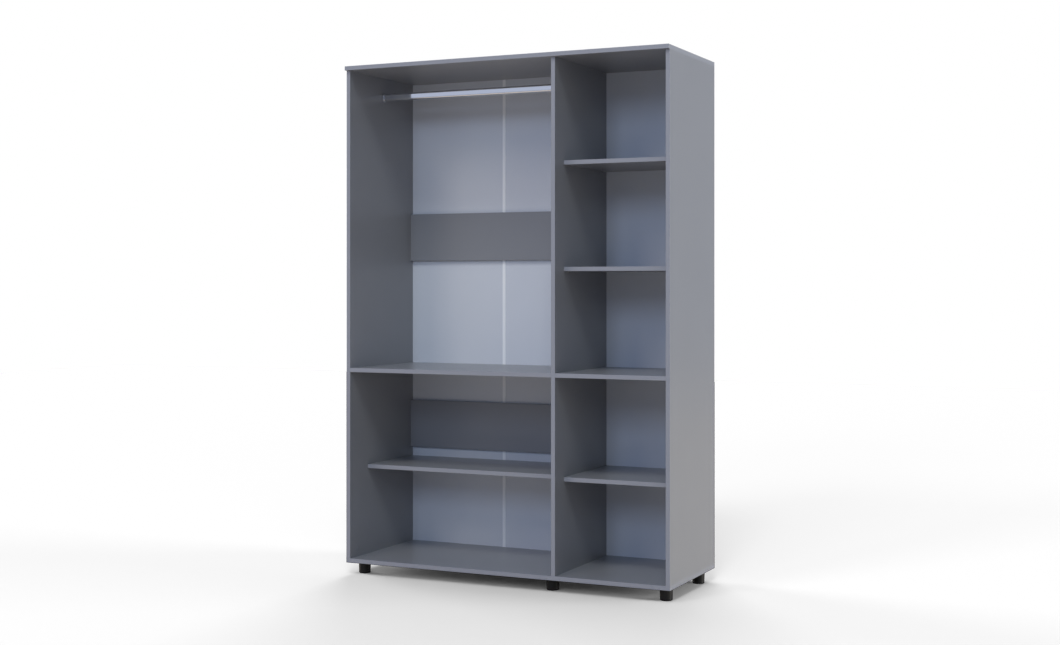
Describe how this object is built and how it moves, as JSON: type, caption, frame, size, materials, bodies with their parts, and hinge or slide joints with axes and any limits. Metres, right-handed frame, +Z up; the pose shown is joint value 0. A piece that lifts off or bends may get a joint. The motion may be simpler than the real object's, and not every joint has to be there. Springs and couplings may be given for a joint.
{
  "type": "wardrobe carcass",
  "caption": "Open-fronted two-bay wardrobe carcass in grey board with hanging rod, fixed and loose shelves, rear rails, pale back sheets and black levelling feet.",
  "frame": {"origin": "on the floor under the middle of the whole box, feet screwed right in", "axes": "+X to the right seen from the open front, +Y to the rear, +Z up"},
  "size_m": [1.35, 0.518, 2],
  "materials": {
    "grey_board": "fine-grained laminate, satin",
    "grey_edging": "satin edge band",
    "pale_hardboard": "lacquered hardboard, semi-gloss",
    "white_plastic": "satin",
    "chrome": "polished",
    "zinc_steel": "zinc plated",
    "black_plastic": "moulded, matt",
    "beech": "turned, bare",
    "grey_plastic": "moulded, satin"
  },
  "bodies": {
    "carcass": {"back_joint_strip": "white_plastic", "back_nails": "zinc_steel", "back_rail_lower": "grey_board", "back_rail_upper": "grey_board", "back_sheet_left": "pale_hardboard", "back_sheet_middle": "pale_hardboard", "back_sheet_right": "pale_hardboard", "bottom_panel": "grey_board", "bottom_panel_edging": "grey_edging", "cam_bolts": "zinc_steel", "cam_covers": "grey_plastic", "cam_housings": "zinc_steel", "centre_divider": "grey_board", "centre_divider_edging": "grey_edging", "dowels": "beech", "fixed_shelf_left": "grey_board", "fixed_shelf_left_edging": "grey_edging", "fixed_shelf_right": "grey_board", "fixed_shelf_right_edging": "grey_edging", "foot_access_covers": "grey_plastic", "foot_fixing_screws": "zinc_steel", "foot_housing_front_left": "black_plastic", "foot_housing_front_middle": "black_plastic", "foot_housing_front_right": "black_plastic", "foot_housing_rear_left": "black_plastic", "foot_housing_rear_middle": "black_plastic", "foot_housing_rear_right": "black_plastic", "hanging_rod": "chrome", "left_side": "grey_board", "left_side_edging": "grey_edging", "right_side": "grey_board", "right_side_edging": "grey_edging", "rod_socket_left": "chrome", "rod_socket_right": "chrome", "rod_socket_screws": "zinc_steel", "shelf_pins": "grey_plastic", "through_bolts": "zinc_steel", "top_panel": "grey_board", "top_panel_edging": "grey_edging"},
    "shelf_left": {"loose_shelf_left": "grey_board", "loose_shelf_left_edging": "grey_edging"},
    "shelf_right_low": {"loose_shelf_right_low": "grey_board", "loose_shelf_right_low_edging": "grey_edging"},
    "shelf_right_middle": {"loose_shelf_right_middle": "grey_board", "loose_shelf_right_middle_edging": "grey_edging"},
    "shelf_right_high": {"loose_shelf_right_high": "grey_board", "loose_shelf_right_high_edging": "grey_edging"},
    "pad_front_left": {"foot_pad_front_left": "black_plastic"},
    "spindle_front_left": {"foot_spindle_front_left": "zinc_steel"},
    "pad_front_middle": {"foot_pad_front_middle": "black_plastic"},
    "spindle_front_middle": {"foot_spindle_front_middle": "zinc_steel"},
    "pad_front_right": {"foot_pad_front_right": "black_plastic"},
    "spindle_front_right": {"foot_spindle_front_right": "zinc_steel"},
    "pad_rear_left": {"foot_pad_rear_left": "black_plastic"},
    "spindle_rear_left": {"foot_spindle_rear_left": "zinc_steel"},
    "pad_rear_middle": {"foot_pad_rear_middle": "black_plastic"},
    "spindle_rear_middle": {"foot_spindle_rear_middle": "zinc_steel"},
    "pad_rear_right": {"foot_pad_rear_right": "black_plastic"},
    "spindle_rear_right": {"foot_spindle_rear_right": "zinc_steel"}
  },
  "joints": [
    {"name": "shelf_left_slide", "type": "slide", "parent": "carcass", "child": "shelf_left", "axis": [0, -1, 0], "range_m": [0, 0.5]},
    {"name": "shelf_right_low_slide", "type": "slide", "parent": "carcass", "child": "shelf_right_low", "axis": [0, -1, 0], "range_m": [0, 0.5]},
    {"name": "shelf_right_middle_slide", "type": "slide", "parent": "carcass", "child": "shelf_right_middle", "axis": [0, -1, 0], "range_m": [0, 0.5]},
    {"name": "shelf_right_high_slide", "type": "slide", "parent": "carcass", "child": "shelf_right_high", "axis": [0, -1, 0], "range_m": [0, 0.5]},
    {"name": "pad_front_left_travel", "type": "slide", "parent": "carcass", "child": "pad_front_left", "axis": [0, 0, -1], "range_m": [0, 0.015]},
    {"name": "spindle_front_left_turn", "type": "hinge", "parent": "pad_front_left", "child": "spindle_front_left", "pos_m": [-0.635, -0.173, 0.02], "axis": [0, 0, -1], "range_deg": [0, 3601]},
    {"name": "pad_front_middle_travel", "type": "slide", "parent": "carcass", "child": "pad_front_middle", "axis": [0, 0, -1], "range_m": [0, 0.015]},
    {"name": "spindle_front_middle_turn", "type": "hinge", "parent": "pad_front_middle", "child": "spindle_front_middle", "pos_m": [0.184, -0.173, 0.02], "axis": [0, 0, -1], "range_deg": [0, 3601]},
    {"name": "pad_front_right_travel", "type": "slide", "parent": "carcass", "child": "pad_front_right", "axis": [0, 0, -1], "range_m": [0, 0.015]},
    {"name": "spindle_front_right_turn", "type": "hinge", "parent": "pad_front_right", "child": "spindle_front_right", "pos_m": [0.635, -0.173, 0.02], "axis": [0, 0, -1], "range_deg": [0, 3601]},
    {"name": "pad_rear_left_travel", "type": "slide", "parent": "carcass", "child": "pad_rear_left", "axis": [0, 0, -1], "range_m": [0, 0.015]},
    {"name": "spindle_rear_left_turn", "type": "hinge", "parent": "pad_rear_left", "child": "spindle_rear_left", "pos_m": [-0.635, 0.183, 0.02], "axis": [0, 0, -1], "range_deg": [0, 3601]},
    {"name": "pad_rear_middle_travel", "type": "slide", "parent": "carcass", "child": "pad_rear_middle", "axis": [0, 0, -1], "range_m": [0, 0.015]},
    {"name": "spindle_rear_middle_turn", "type": "hinge", "parent": "pad_rear_middle", "child": "spindle_rear_middle", "pos_m": [0.184, 0.183, 0.02], "axis": [0, 0, -1], "range_deg": [0, 3601]},
    {"name": "pad_rear_right_travel", "type": "slide", "parent": "carcass", "child": "pad_rear_right", "axis": [0, 0, -1], "range_m": [0, 0.015]},
    {"name": "spindle_rear_right_turn", "type": "hinge", "parent": "pad_rear_right", "child": "spindle_rear_right", "pos_m": [0.635, 0.183, 0.02], "axis": [0, 0, -1], "range_deg": [0, 3601]}
  ],
  "couplings": [
    {"joint": "spindle_front_left_turn", "follows": "pad_front_left_travel", "rad_per_m": 4188.8},
    {"joint": "spindle_front_middle_turn", "follows": "pad_front_middle_travel", "rad_per_m": 4188.8},
    {"joint": "spindle_front_right_turn", "follows": "pad_front_right_travel", "rad_per_m": 4188.8},
    {"joint": "spindle_rear_left_turn", "follows": "pad_rear_left_travel", "rad_per_m": 4188.8},
    {"joint": "spindle_rear_middle_turn", "follows": "pad_rear_middle_travel", "rad_per_m": 4188.8},
    {"joint": "spindle_rear_right_turn", "follows": "pad_rear_right_travel", "rad_per_m": 4188.8}
  ]
}
